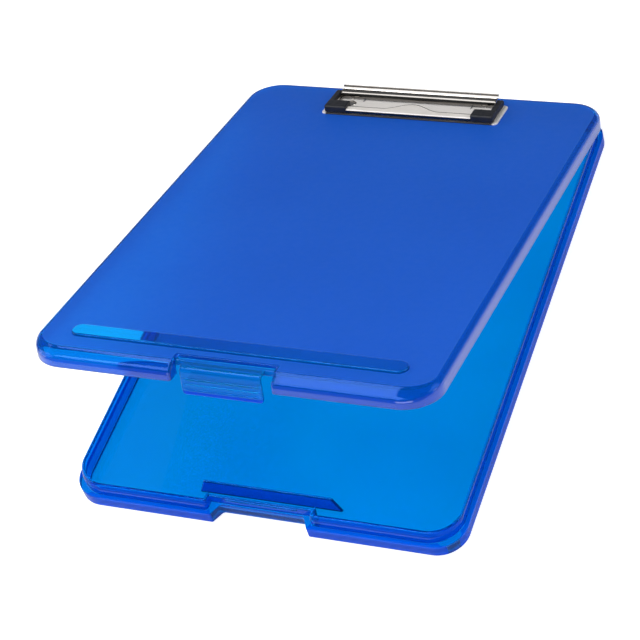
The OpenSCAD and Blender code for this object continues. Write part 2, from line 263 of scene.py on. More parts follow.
def end_cap(centre, start, end, steps=6):
    """Points between start and end, clockwise round the centre."""
    first = math.atan2(start.y - centre.y, start.x - centre.x)
    radii = (start - centre).length, (end - centre).length
    points = []
    for i in range(1, steps):
        a = first - math.pi * i / steps
        radius = radii[0] + (radii[1] - radii[0]) * i / steps
        points.append(centre + Vector((math.cos(a), math.sin(a))) * radius)
    return points


def arc_line(centre, radius, first, last, steps):
    """Points on an arc in the y-z plane, in degrees."""
    angles = [math.radians(first + (last - first) * i / steps) for i in range(steps + 1)]
    return [Vector(centre) + Vector((math.cos(a), math.sin(a))) * radius for a in angles]


def add_sheet(bm, stations, edge):
    """A sheet through (x, line, halves) stations, with rounded side edges."""
    arc = [math.radians(30 * i) for i in range(4)]
    rings = []
    for a in reversed(arc):
        rings.append(edge_ring(stations[0], edge, a, 1))
    rings += [strip_ring(*station) for station in stations[1:-1]]
    for a in arc:
        rings.append(edge_ring(stations[-1], edge, a, -1))
    add_loft(bm, rings)


def edge_ring(station, edge, angle, inwards):
    x, line, halves = station
    thin = edge * (1 - math.cos(angle))
    halves = [(a - thin, b - thin) for a, b in halves]
    return strip_ring(x + inwards * edge * (1 - math.sin(angle)), line, halves)


def even(line, half):
    return [(half, half)] * len(line)


def add_tube(bm, points, radius, sides=12):
    """Round wire along points, with flat ends."""
    points = [Vector(p) for p in points]
    last = len(points) - 1
    across = Vector((0.001, 0.002, 1))
    rings = []
    for i, point in enumerate(points):
        ahead = (points[min(i + 1, last)] - points[max(i - 1, 0)]).normalized()
        across = (across - ahead * across.dot(ahead)).normalized()
        up = ahead.cross(across)
        rings.append([point + (across * math.cos(a) + up * math.sin(a)) * radius
                      for a in (2 * math.pi * k / sides for k in range(sides))])
    add_loft(bm, rings)


# ---- Pieces ----


def piece(obj, name, body, nodes, materials, pose=None, smooth=35, flat_weight=True, choose=None):
    """Names, poses and scales a solid in millimetres, and ties it to the frame.
    choose gives the index of a face's material."""
    obj.name = name
    obj.data.name = name
    obj.data.materials.clear()
    for material in materials:
        obj.data.materials.append(material)
    if choose:
        for face in obj.data.polygons:
            face.material_index = choose(face)
    obj.data.transform(Matrix.Scale(MM, 4) @ (pose or Matrix.Identity(4)))
    obj.data.shade_smooth()
    obj.data.set_sharp_from_angle(angle=math.radians(smooth))
    if flat_weight:
        modifier = obj.modifiers.new("normals", "WEIGHTED_NORMAL")
        modifier.keep_sharp = True
        modifier.weight = 80
    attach(obj, body)
    if nodes:
        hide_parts(*nodes)
    return obj


# ---- Tray ----

def band_notch(inset):
    """Latch recess of the lower band: tapered, with rounded corners."""
    front = FRONT + inset
    deep = FRONT + 7.5 + inset
    return [(21, deep, 0, 0), (22, deep, 0, 0), (25.1 + inset, deep, 2.2, NOTCH_STEPS),
            (29.2 + inset, front, 1.0, NOTCH_STEPS)]


def rim_notch(inset, entry):
    """Latch recess of the rim: square."""
    front = FRONT + RIM_INSET + inset
    deep = FRONT + 8.5 + inset
    return [(21, deep, 0, 0), (22, deep, 0, 0), (31.3 + inset, deep, 0.5 + inset * 0.4, NOTCH_STEPS),
            (31.3 + inset, front, entry, NOTCH_STEPS)]


def no_notch(front):
    y = FRONT + front
    return [(21, y, 0, 0), (22, y, 0, 0), (36, y, 1, NOTCH_STEPS), (42, y, 1, NOTCH_STEPS)]


def band_ring(inset, z):
    return [Vector((x, y, z)) for x, y, _ in case_ring(inset, inset, inset, band_notch(inset), BAND_CORNER_R)]


def rim_ring(inset, z, entry=2.0, low_back=0.0, bead=0.0):
    """Ring of the rim, which leans back at the front. Behind the latch it is lower, and carries a bead."""
    whole = RIM_INSET + inset
    ring = []
    for x, y, inside in case_ring(whole, whole, whole, rim_notch(inset, entry)):
        behind = clamp(y - FRONT - 7.5 - inset) if inside else 0.0
        on_bead = inside and abs(x) < 21.5 and abs(y - FRONT - 8.5 - inset) < 0.1
        lean = RIM_LEAN * clamp((z - 12.5) / 2.4) * clamp((FRONT + 26 - y) / 14) * (1 - behind)
        ring.append(Vector((x, y + lean - (bead if on_bead else 0.0), z - low_back * behind)))
    return ring


def add_tray(bm):
    rings = []
    quarter = [math.radians(90 * i / 4) for i in range(5)]
    bottom_r, ledge_r, foot_r, top_r, floor_r = 0.7, 0.5, 0.4, 0.7, 3.2
    rings += [band_ring(bottom_r * (1 - math.sin(a)), bottom_r * (1 - math.cos(a))) for a in quarter]
    rings += [band_ring(0, BAND_H / 2)]
    rings += [band_ring(ledge_r * (1 - math.cos(a)), BAND_H - ledge_r * (1 - math.sin(a))) for a in quarter]
    rings += [rim_ring(-foot_r * (1 - math.sin(a)), BAND_H + foot_r * (1 - math.cos(a))) for a in quarter]
    for height in (-BEAD_R, -0.8, -0.55, -0.2, 0.2, 0.55, 0.8, BEAD_R):
        rings.append(rim_ring(0, BEAD_Z + height, bead=math.sqrt(max(0, BEAD_R ** 2 - height ** 2))))
    low_back = RIM_TOP - BEHIND_LATCH_TOP
    rings += [rim_ring(top_r * (1 - math.cos(a)), RIM_TOP - top_r * (1 - math.sin(a)), low_back=low_back)
              for a in quarter]
    rings += [rim_ring(RIM_T - top_r * (1 - math.sin(a)), RIM_TOP - top_r * (1 - math.cos(a)),
                       entry=1.0, low_back=low_back) for a in quarter]
    rings += [rim_ring(RIM_T, 10, entry=1.0)]
    rings += [rim_ring(RIM_T + floor_r * (1 - math.cos(a)), FLOOR_T + floor_r * (1 - math.sin(a)), entry=0.6)
              for a in quarter]
    rings.append([Vector((x, y, FLOOR_T)) for x, y, _ in case_ring(11.5, 22.5, 11.5, no_notch(22.5))])
    add_loft(bm, rings)


def add_knuckle(bm, x, length, bracket_low, bracket_high):
    """Hinge eye drawn in side view, so that eye and bracket are one solid."""
    radius, wall = 3.4, BACK - 0.6
    low_a = math.asin(max(-1, (bracket_low - HINGE.z) / radius))
    high_a = math.asin(min(1, (bracket_high - HINGE.z) / radius))
    start, end = -math.pi - low_a, math.pi - high_a
    outline = [Vector((wall, bracket_high)), Vector((wall, bracket_low))]
    for i in range(33):
        a = start + (end - start) * i / 32
        outline.append(Vector((HINGE.y + radius * math.cos(a), HINGE.z + radius * math.sin(a))))
    add_prism(bm, outline, "X", x - length / 2, x + length / 2, 0.35)


def add_bore(bm, radius):
    for side in (-1, 1):
        profile = [(side * HINGE_X - 21, radius), (side * HINGE_X + 21, radius)]
        add_lathe(bm, profile, "X", (0, HINGE.y, HINGE.z))


def add_pen_wall(bm):
    """Wall that keeps the pen beside the latch recess, with a rounded top."""
    outline = rounded_polygon([(-44, FLOOR_T - 0.8, 0, 0), (44, FLOOR_T - 0.8, 0, 0), (39, 12.5, 1.6, 6),
                               (-39, 12.5, 1.6, 6)])
    rounding = ((18, 0.9), (18.15, 0.5), (18.5, 0.14), (18.9, 0),
                (19.1, 0), (19.5, 0.14), (19.85, 0.5), (20, 0.9))
    rings = []
    for y, inset in rounding:
        rings.append([Vector((p.x, FRONT + y, p.y)) for p in inset_outline(outline, inset)])
    add_loft(bm, rings)


def tray_material(face):
    """0 for the floor, 1 for the rim, 2 for the lower band. Rim and band get deeper copies of the floor's
    plastic: painted shade.
    """
    if abs(face.normal.z) > 0.8 and face.center.z < BAND_H - 1:
        return 0
    outside = max(abs(face.center.x) - HALF_W, abs(face.center.y) - BACK) > -RIM_INSET
    return 2 if face.center.z < BAND_H + 0.1 and outside else 1


def make_tray(materials):
    tray = solid(add_tray)
    boolean(tray, solid(add_pen_wall), "UNION")
    for side in (-1, 1):
        for end in (-1, 1):
            knuckle = solid(add_knuckle, side * HINGE_X + end * 15, 10, HINGE.z - 3.4, BAND_H - 0.3)
            boolean(tray, knuckle, "UNION")
    boolean(tray, solid(add_bore, 1.27), "DIFFERENCE")
    piece(tray, "tray_body", "tray", ["base_tray"], materials, choose=tray_material)


def make_hinge_pins(material):
    for side, word in ((-1, "left"), (1, "right")):
        profile = bar_profile(side * HINGE_X - 20, side * HINGE_X + 20, 1.25, 0.3)
        pin = solid(add_lathe, profile, "X", (0, HINGE.y, HINGE.z))
        piece(pin, f"hinge_pin_{word}_round", "tray", [f"hinge_pin_{word}"], [material])


# ---- Lid ----

# Height at which the lid ends behind the cheeks of the latch pocket.
NOTCH_BACK_Z = 13.6
# Sides: how far the rounding reaches in and down. Front: (below the top, in from the front) pairs.
SIDE_ROUND = (3.6, 4.0)
FRONT_SLOPE = ((6.5, 0), (5.7, 0.08), (5.0, 0.3), (4.4, 0.62), (3.9, 1.0), (3.45, 1.5), (3.1, 2.0),
               (2.75, 2.6), (2.1, 3.8), (1.3, 5.2), (0.6, 6.4), (0.25, 6.9), (0.08, 7.15), (0, 7.4))


def round_inset(z, across, height):
    """How far an elliptical top edge has come in at height z."""
    rise = max(0.0, z - (LID_TOP - height)) / height
    return across * (1 - math.sqrt(max(0.0, 1 - rise * rise)))


def lid_notch(inset, front, entry, back_r):
    y = FRONT + front
    side = 29 + inset
    deep = FRONT + 12 + inset
    return [(20, deep, 0, 0), (side, deep, back_r, NOTCH_STEPS), (side, FRONT + 9.6, 0, 0),
            (side, FRONT + 8.3, 0, 0), (side, FRONT + 8.0, 0, 0),
            (side, y, min(entry, 7.8 - front), NOTCH_STEPS)]


def lid_ring(side, front, notch_inset, z, entry, back_r, raised=0.0):
    """Ring of the lid. Behind the cheeks' lower part it is raised, and ends higher."""
    ring = []
    for x, y, inside in case_ring(side, front, side, lid_notch(notch_inset, front, entry, back_r)):
        behind = inside and y > FRONT + 8.15
        ring.append(Vector((x, y, max(z + raised, NOTCH_BACK_Z) if behind else z)))
    return ring


def add_lid(bm):
    rings = []
    quarter = [math.radians(90 * i / 6) for i in range(7)]
    under = LID_TOP - LID_T
    for a in reversed(quarter):
        drop = 4.6 * (1 - math.sin(a))
        side = SKIRT_T + round_inset(LID_TOP - drop, 2.0, 2.2)
        front = SKIRT_T + round_inset(LID_TOP - drop, 5.2, 4.6)
        notch = 1.9 + round_inset(LID_TOP - drop, 0.8, 1.0)
        raised = max(0.0, NOTCH_BACK_Z + 0.6 - under + drop)
        rings.append(lid_ring(side, front, notch, under - drop, 0.5, 1.0, raised))
    edge = 0.45
    raised = NOTCH_BACK_Z - SKIRT_Z
    for a in (0, 22.5, 45, 67.5, 90):
        c, s = math.cos(math.radians(a)), math.sin(math.radians(a))
        rings.append(lid_ring(SKIRT_T - edge * (1 - c), SKIRT_T - edge * (1 - c), 1.9 - edge * (1 - c),
                              SKIRT_Z + edge * (1 - s), 0.5, 1.0, raised))
    for a in (90, 67.5, 45, 22.5, 0):
        c, s = math.cos(math.radians(a)), math.sin(math.radians(a))
        rings.append(lid_ring(edge * (1 - c), edge * (1 - c), edge * (1 - c),
                              SKIRT_Z + edge * (1 - s), 2.0, 1.0, raised))
    for drop, front in FRONT_SLOPE:
        z = LID_TOP - drop
        rings.append(lid_ring(round_inset(z, *SIDE_ROUND), front, round_inset(z, 1.2, 1.2), z, 2.0, 1.2))
    add_loft(bm, rings)


def add_rib(bm):
    """Raised stadium on the writing face, with a soft edge."""
    outline = rounded_polygon([(-98, FRONT + 17.5, 5.49, 12), (98, FRONT + 17.5, 5.49, 12),
                               (98, FRONT + 28.5, 5.49, 12), (-98, FRONT + 28.5, 5.49, 12)])
    rings = []
    for height, inset in ((-0.5, 0), (0.5, 0.1), (1.0, 0.28), (1.3, 0.5), (1.5, 0.85), (1.6, 1.3)):
        rings.append([Vector((p.x, p.y, LID_TOP + height)) for p in inset_outline(outline, inset)])
    add_loft(bm, rings)


def add_rivet_holes(bm):
    for side in (-1, 1):
        add_lathe(bm, [(LID_TOP - 4, 1.62), (LID_TOP + 1, 1.62)], "Z", (side * RIVET_X, CLIP.y + RIVET_Y, 0))


def lid_material(face):
    """0 for panels, 1 for the writing face, 2 for rounded edges, 3 for the skirt. Rounded edges and skirt get
    deeper copies of the panel plastic: painted shade.
    """
    if face.normal.z > 0.995:
        return int(abs(face.center.z - LID_TOP) < 0.01)
    if abs(face.normal.z) > 0.97:
        return 0
    return 3 if abs(face.normal.z) < 0.5 and face.center.z < LID_TOP else 2


def make_lid(materials):
    lid = solid(add_lid)
    boolean(lid, solid(add_rib), "UNION")
    for side in (-1, 1):
        boolean(lid, solid(add_knuckle, side * HINGE_X, 19.4, HINGE.z + 1.1, HINGE.z + 3.3), "UNION")
    boolean(lid, solid(add_bore, 1.31), "DIFFERENCE")
    boolean(lid, solid(add_rivet_holes), "DIFFERENCE")
    boolean(lid, solid(add_lathe, [(-32, 1.45), (32, 1.45)], "X", (0, LATCH.y, LATCH.z)), "DIFFERENCE")
    piece(lid, "lid_cover", "lid", ["lid_shell"], materials, LID_POSE, choose=lid_material)


# ---- Latch ----

FLAP_HALF = 23.5
FLAP_CORNER = 2.4
FLAP_EDGE = 0.7
RIDGES = (4.5, 7.8, 11.1)
RIDGE_R = 0.7


def flap_line(x):
    """The flap's middle line at x: arm, bend and plate, whose lower end rises at the corners."""
    bend = Vector((FRONT + 3.8, 15.0))
    line = [Vector((FRONT + 9.5, 17.0)), Vector((FRONT + 6.5, 17.0))]
    line += arc_line(bend, 2.0, 90, 180, 10)
    heights = [13.6]
    for ridge in reversed(RIDGES):
        heights += [ridge + RIDGE_R * step for step in (1.15, 1.0, 0.85, 0.5, 0, -0.5, -0.85, -1.0, -1.15)]
    heights += [3.3, 2.6, 2.0]
    past = max(0.0, abs(x) - (FLAP_HALF - FLAP_CORNER)) / FLAP_CORNER
    lift = FLAP_CORNER * (1 - math.sqrt(1 - past ** 2))
    low, high = 2.0, 6.6
    for z in heights:
        if z < high:
            z = high - (high - z) * (high - low - lift) / (high - low)
        line.append(Vector((FRONT + 1.8, z)))
    return line


def flap_halves(x, line):
    """Half thickness behind and in front of the middle line, with the grip ridges and rounded sides."""
    fade = clamp((FLAP_HALF - 1.6 - abs(x)) / 0.7)
    near = clamp(1 - (FLAP_HALF - abs(x)) / FLAP_EDGE)
    half = 1.0 - FLAP_EDGE * (1 - math.sqrt(1 - near * near))
    halves = []
    for i, point in enumerate(line):
        ridge = 0.0
        if i > 12 and fade > 0:
            off = min(abs(point.y - z) for z in RIDGES)
            ridge = math.sqrt(max(0.0, RIDGE_R ** 2 - off ** 2)) * fade
        halves.append((half, half + ridge))
    return halves


def add_flap(bm):
    xs = [FLAP_HALF - FLAP_EDGE * (1 - math.sin(math.radians(a))) for a in (90, 60, 30, 0)]
    xs += [22.3, 21.9, 21.5, 21.2, 20.6, 9]
    rings = []
    for x in [-x for x in xs] + [0] + xs[::-1]:
        line = flap_line(x)
        rings.append(strip_ring(x, line, flap_halves(x, line)))
    add_loft(bm, rings)


def add_hook(bm):
    line = [Vector((FRONT + 2.0 + 0.5 * i, 10.0)) for i in range(12)]
    xs = (-20, -19, 19, 20)
    add_sheet(bm, [(x, line, even(line, 0.7)) for x in xs], 0.3)


def flap_material(face):
    """1 for the strip below the lowest ridge, which looks deeper: painted shade, a deeper copy of the
    plastic.
    """
    return int(face.center.z < RIDGES[0] - 1.0 and face.center.y < FRONT + 3)


def make_latch(materials):
    latch = solid(add_flap)
    boolean(latch, solid(add_hook), "UNION")
    axle = bar_profile(-30.6, 30.6, 1.4, 0.3)
    barrel = bar_profile(-28.7, 28.7, 2.1, 0.3)
    boolean(latch, solid(add_lathe, barrel, "X", (0, LATCH.y, LATCH.z)), "UNION")
    boolean(latch, solid(add_lathe, axle, "X", (0, LATCH.y, LATCH.z)), "UNION")
    piece(latch, "latch_flap_body", "latch", ["latch_flap"], materials, LID_POSE,
          choose=flap_material)


# ---- Clip, in its own frame: y from the plate's front edge, z from the writing face ----

CLIP_POSE = LID_POSE @ Matrix.Translation(CLIP)


def add_base_plate(bm):
    half, depth, corner = 58.5, 25.5, 2.5
    outline = rounded_polygon([(-half, 0, corner, 6), (half, 0, corner, 6), (half, depth, corner, 6),
                               (-half, depth, corner, 6)])
    add_prism(bm, outline, "Z", 0.02, PLATE_T, 0.25)


def add_ear(bm, side):
    """Round-topped ear that carries the rod."""
    outline = [Vector((ROD_Y - 1.9, PLATE_T - 0.3)), Vector((ROD_Y + 1.9, PLATE_T - 0.3))]
    outline += arc_line((ROD_Y, ROD_Z), 2.0, 0, 180, 18)
    add_prism(bm, outline, "X", side * 44.9 - 0.5, side * 44.9 + 0.5, 0.15)


def make_base_plate(material):
    plate = solid(add_base_plate)
    for side in (-1, 1):
        boolean(plate, solid(add_ear, side), "UNION")
    boolean(plate, solid(add_lathe, [(-50, 1.03), (50, 1.03)], "X", (0, ROD_Y, ROD_Z)), "DIFFERENCE")
    piece(plate, "clip_plate", "lid", ["clip_base_plate"], [material], CLIP_POSE)


def make_rivets(material):
    """Domed rivets with a hollow clinched tail, and a washer under each; profiles are (z, radius)."""
    head = [(2.1, 0.02), (2.09, 0.9), (2.0, 1.6), (1.8, 2.4), (1.5, 3.1), (1.25, 3.42), (1.08, 3.5),
            (PLATE_T, 3.45)]
    shank = [(PLATE_T, 1.6), (-2.6, 1.6)]
    tail = [(-2.6, 2.3), (-2.75, 2.55), (-3.0, 2.6), (-3.2, 2.4), (-3.3, 2.0), (-3.25, 1.2), (-3.0, 0.9),
            (-2.0, 0.8), (-2.0, 0.02)]
    washer = [(-2.02, 1.7), (-2.02, 3.9), (-2.1, 4.0), (-2.5, 4.0), (-2.6, 3.9), (-2.6, 1.7)]
    for side, word in ((-1, "left"), (1, "right")):
        at = (side * RIVET_X, RIVET_Y, 0)
        rivet = solid(add_lathe, head + shank + tail, "Z", at, 40)
        piece(rivet, f"clip_rivet_{word}_domed", "lid", [f"clip_rivet_{word}"], [material],
              CLIP_POSE)
        ring = solid(add_ring_lathe, washer, at)
        piece(ring, f"rivet_washer_{word}_round", "lid", [f"rivet_washer_{word}"], [material],
              CLIP_POSE)


def add_ring_lathe(bm, profile, at, segments=40):
    """Closed ring: the profile's last point joins its first."""
    rings = lathe_rings(profile, "Z", at, segments)
    rows = [[bm.verts.new(p) for p in ring] for ring in rings]
    for i, low in enumerate(rows):
        high = rows[(i + 1) % len(rows)]
        for k in range(segments):
            bm.faces.new((low[k], low[(k + 1) % segments], high[(k + 1) % segments], high[k]))


def make_rod(material):
    rod = solid(add_lathe, bar_profile(-52.7, 52.7, 1.0, 0.25), "X", (0, ROD_Y, ROD_Z), 32)
    piece(rod, "clip_rod", "lid", ["clip_pivot_rod"], [material], CLIP_POSE)


def spring_points(side):
    """Foot, leg and coil round the rod."""
    foot = PLATE_T + 0.4 - ROD_Z
    points = [(0, -5, foot), (0, -3, foot), (0, -1.9, foot), (0, -1.62, foot + 0.1), (0, -1.5, foot + 0.4)]
    steps, turns, pitch = 24, 6.5, 0.78
    for i in range(int(steps * turns) + 1):
        a = math.pi + 2 * math.pi * i / steps
        points.append((pitch * i / steps, 1.5 * math.cos(a), -1.5 * math.sin(a)))
    return [Vector((side * (36 + x), ROD_Y + y, ROD_Z + z)) for x, y, z in points]


def make_springs(material):
    for side, word in ((-1, "left"), (1, "right")):
        spring = solid(add_tube, spring_points(side), 0.35)
        piece(spring, f"clip_spring_{word}_wire", "lid", [f"clip_spring_{word}"], [material],
              CLIP_POSE, flat_weight=False)


HUMP_W, HUMP_RISE = 38, 7.6
# Width of the strip along the bar's back edge; bar_material gives it painted shade.
HEM = 0.45


def bar_back(x):
    """Back edge of the front bar, which swells out in the middle."""
    hump = HUMP_RISE * (1 + math.cos(2 * math.pi * x / HUMP_W)) / 2 if abs(x) < HUMP_W / 2 else 0.0
    return 5.9 + hump - SHEET_T / 2


def bar_line(x):
    """Lip, bend and top of the front bar, with a narrow strip along the back edge."""
    back = bar_back(x)
    line = [Vector((0.9, 1.7)), Vector((0.9, 2.3))]
    line += arc_line((1.7, 2.8), 0.8, 180, 90, 8)
    line += [Vector((1.7 + (back - HEM - 1.7) * i / 4, 3.6)) for i in range(1, 5)]
    return line + [Vector((back, 3.6))]


def add_bar(bm):
    xs = [-55.5, -54] + [HUMP_W / 2 * (i / 12 - 1) for i in range(25)] + [54, 55.5]
    add_sheet(bm, [(x, bar_line(x), even(bar_line(x), SHEET_T / 2)) for x in xs], 0.2)


def lever_line():
    """Curled edge, fin, tight fold and roll about the rod."""
    roll = SHEET_T / 2
    radius = 3.1 - roll
    curl = Vector((3.9, 4.1))
    fold = Vector((math.cos(math.radians(38)), math.sin(math.radians(38)))) * radius
    fin = (curl - fold).normalized()
    line = arc_line(curl, 0.55, -200, 30, 8)
    start = line[-1]
    line += [start.lerp(fold + fin * 0.9, t) for t in (0.3, 0.6, 0.85)]
    line += arc_line((0, 0), radius, 46, 205, 24)
    return [p + Vector((ROD_Y, ROD_Z)) for p in line]


def add_lever(bm):
    line = lever_line()
    half = 52.0
    halves = even(line, SHEET_T / 2 - 0.02)
    add_sheet(bm, [(x, line, halves) for x in (-half, -half + 1, half - 1, half)], 0.2)


def add_arm(bm, side):
    """Flat arm from the bar back to the rod."""
    outline = [Vector((0.8, 2.4)), Vector((ROD_Y - 2.0, 2.4))]
    outline += arc_line((ROD_Y, ROD_Z), 2.28, 212, 490, 24)
    outline += [Vector((ROD_Y - 2.6, 4.0)), Vector((0.8, 4.0))]
    low = min(side * 52.0, side * 52.8)
    add_prism(bm, outline, "X", low, low + SHEET_T, 0.15)


def bar_material(face):
    """1 for the front lip and the thin line of the back edge: painted shade, a near-black copy of the nickel.
    """
    on_lip = face.normal.y < -0.75 and face.center.z < 3.2
    on_edge = face.center.y > bar_back(face.center.x) - HEM and face.center.z > 3.2
    return int(on_lip or on_edge)


def lever_material(face):
    """1 for the faces of the rolled lever that look forwards into the clip: painted shade, a dark copy of the
    nickel.
    """
    return int(face.normal.y < 0.1 and face.normal.z < 0.78)


def make_jaw(polished, satin, lip, fold):
    # satin is a lighter copy of the nickel, painted light; polished, lip and fold are darker copies, painted
    # shade.
    piece(solid(add_bar), "jaw_front_bar", "jaw", ["clip_jaw"], [satin, lip], CLIP_POSE,
          choose=bar_material)
    piece(solid(add_lever), "jaw_lever_roll", "jaw", ["clip_jaw"], [polished, fold], CLIP_POSE,
          choose=lever_material)
    for side, word in ((-1, "left"), (1, "right")):
        arm = solid(add_arm, side)
        boolean(arm, solid(add_lathe, [(-56, 1.05), (56, 1.05)], "X", (0, ROD_Y, ROD_Z)), "DIFFERENCE")
        piece(arm, f"jaw_arm_{word}", "jaw", ["clip_jaw"], [polished], CLIP_POSE)


def add_pad_front(bm, side):
    outline = rounded_polygon([(0.1, 1.3, 1.0, 4), (9.5, 1.3, 0.8, 4), (9.5, 6.0, 0.9, 4),
                               (0.1, 6.0, 1.4, 6)])
    low = min(side * 41.5, side * 55.9)
    add_prism(bm, outline, "X", low, low + 14.4, 0.6)


def add_pad_side(bm, side):
    back = ROD_Y + 2.3
    outline = rounded_polygon([(0.6, 1.35, 0.8, 4), (back, 1.35, 2.25, 10), (back, 5.9, 2.25, 10),
                               (0.6, 5.9, 1.2, 6)])
    low = min(side * 52.2, side * 55.85)
    add_prism(bm, outline, "X", low, low + 3.65, 0.6)


def make_pads(material):
    for side, word in ((-1, "left"), (1, "right")):
        pad = solid(add_pad_front, side)
        boolean(pad, solid(add_pad_side, side), "UNION")
        piece(pad, f"corner_pad_{word}_moulded", "jaw", [f"corner_pad_{word}"], [material],
              CLIP_POSE)


# ---- Materials ----


class Nodes:
    """A material's node tree with a few shorthands."""

    def __init__(self, name):
        self.material = bpy.data.materials.new(name)
        self.material.use_nodes = True
        self.tree = self.material.node_tree
        self.shader = self.tree.nodes["Principled BSDF"]
        self.place = self.new("ShaderNodeTexCoord").outputs["Object"]

    def new(self, kind, **values):
        node = self.tree.nodes.new(kind)
        for key, value in values.items():
            setattr(node, key, value)
        return node

    def link(self, a, b):
        self.tree.links.new(a, b)

    def set(self, **values):
        for key, value in values.items():
            self.shader.inputs[key.replace("_", " ")].default_value = value

    def noise(self, scale, detail=3.0, stretch=None):
        node = self.new("ShaderNodeTexNoise")
        node.inputs["Scale"].default_value = scale
        node.inputs["Detail"].default_value = detail
        source = self.place
        if stretch:
            mapping = self.new("ShaderNodeMapping")
            mapping.inputs["Scale"].default_value = stretch
            self.link(source, mapping.inputs["Vector"])
            source = mapping.outputs["Vector"]
        self.link(source, node.inputs["Vector"])
        return node.outputs["Fac"]

    def ramp(self, factor, stops, socket="Base Color"):
        node = self.new("ShaderNodeValToRGB")
        elements = node.color_ramp.elements
        for i, (position, colour) in enumerate(stops):
            element = elements[i] if i < 2 else elements.new(position)
            element.position = position
            element.color = (*colour, 1)
        self.link(factor, node.inputs["Fac"])
        self.link(node.outputs["Color"], self.shader.inputs[socket])

    def range(self, factor, first, last, low=0.0, high=1.0):
        node = self.new("ShaderNodeMapRange")
        node.inputs["From Min"].default_value = first
        node.inputs["From Max"].default_value = last
        node.inputs["To Min"].default_value = low
        node.inputs["To Max"].default_value = high
        self.link(factor, node.inputs["Value"])
        return node.outputs["Result"]

    def spread(self, factor, low, high, socket="Roughness", first=0.3, last=0.7):
        self.link(self.range(factor, first, last, low, high), self.shader.inputs[socket])

    def bump(self, factor, strength, distance):
        node = self.new("ShaderNodeBump")
        node.inputs["Strength"].default_value = strength
        node.inputs["Distance"].default_value = distance
        self.link(factor, node.inputs["Height"])
        self.link(node.outputs["Normal"], self.shader.inputs["Normal"])


BLUE_SHINE = (0.15, 0.35, 1.0, 1)
SATIN_SHINE = (0.25, 0.50, 1.0, 1)
WHITE_SHINE = (0.85, 0.90, 1.0, 1)


def clear_plastic(name, light, deep, transmission, shine=BLUE_SHINE, coat=0.0, wave=0.015,
                  specular=0.5):
    """Polished translucent plastic, with the faint waviness of a moulded face."""
    n = Nodes(name)
    n.ramp(n.noise(9, 2), [(0.35, deep), (0.65, light)])
    n.spread(n.noise(55, 4), 0.02, 0.06)
    n.bump(n.noise(28, 1), wave, 0.0005)
    n.set(IOR=1.5, Transmission_Weight=transmission, Specular_Tint=shine, Coat_Weight=coat,
          Specular_IOR_Level=specular)
    return n.material


def frosted_plastic(name, light, deep):
    """Spark-eroded writing face of the same plastic."""
    n = Nodes(name)
    n.ramp(n.noise(7, 2), [(0.35, deep), (0.65, light)])
    n.spread(n.noise(260, 4), 0.62, 0.72)
    n.bump(n.noise(2600, 2), 0.12, 0.0002)
    n.set(IOR=1.5, Transmission_Weight=0.45, Specular_Tint=SATIN_SHINE)
    return n.material


def nickel_plate(name, shade=1.0, roughness=0.05, metallic=1.0):
    n = Nodes(name)
    # shade scales the colour: above 1 it is painted light, below 1 painted shade.
    n.ramp(n.noise(140, 3), [(0.3, (0.70 * shade, 0.66 * shade, 0.61 * shade)),
                             (0.7, (0.78 * shade, 0.74 * shade, 0.70 * shade))])
    n.spread(n.noise(90, 5, (1, 30, 30)), roughness, roughness + 0.05)
    n.set(Metallic=metallic)
    return n.material


def plate_nickel_painted_shade(name, shade):
    """Satin nickel with painted shade: near black in the narrow gap under the clip's front bar, where the bar
    shades it.
    """
    front = CLIP_POSE.translation.y * MM
    n = Nodes(name)
    place = n.new("ShaderNodeSeparateXYZ")
    n.link(n.place, place.inputs["Vector"])
    beside = n.new("ShaderNodeMath", operation="ABSOLUTE")
    n.link(place.outputs["X"], beside.inputs[0])
    past_bar = n.range(beside.outputs["Value"], 0.0550, 0.0562)
    behind = n.range(place.outputs["Y"], front + 0.0038, front + 0.0052)
    unshaded_part = n.new("ShaderNodeMath", operation="MAXIMUM")
    n.link(past_bar, unshaded_part.inputs[0])
    n.link(behind, unshaded_part.inputs[1])
    # The colour under the bar is painted shade; in_light is the plain nickel.
    painted_shade_under_bar, in_light = (0.05, 0.045, 0.04), (shade, 0.96 * shade, 0.92 * shade)
    n.ramp(unshaded_part.outputs["Value"], [(0.0, painted_shade_under_bar), (1.0, in_light)])
    n.spread(n.noise(90, 5, (1, 30, 30)), 0.28, 0.34)
    n.set(Metallic=0.08)
    return n.material


def drawn_steel(name):
    n = Nodes(name)
    n.ramp(n.noise(300, 3), [(0.3, (0.46, 0.47, 0.50)), (0.7, (0.60, 0.61, 0.63))])
    n.spread(n.noise(400, 4, (1, 12, 12)), 0.18, 0.32)
    n.bump(n.noise(700, 2, (1, 12, 12)), 0.08, 0.0001)
    n.set(Metallic=1.0)
    return n.material


def pad_rubber(name):
    n = Nodes(name)
    n.ramp(n.noise(120, 4), [(0.3, (0.006, 0.007, 0.011)), (0.7, (0.014, 0.015, 0.022))])
    n.spread(n.noise(500, 4), 0.42, 0.6)
    n.bump(n.noise(1800, 3), 0.3, 0.0002)
    n.set(Specular_IOR_Level=0.45)
    return n.material


# ---- Camera, floor and lights ----


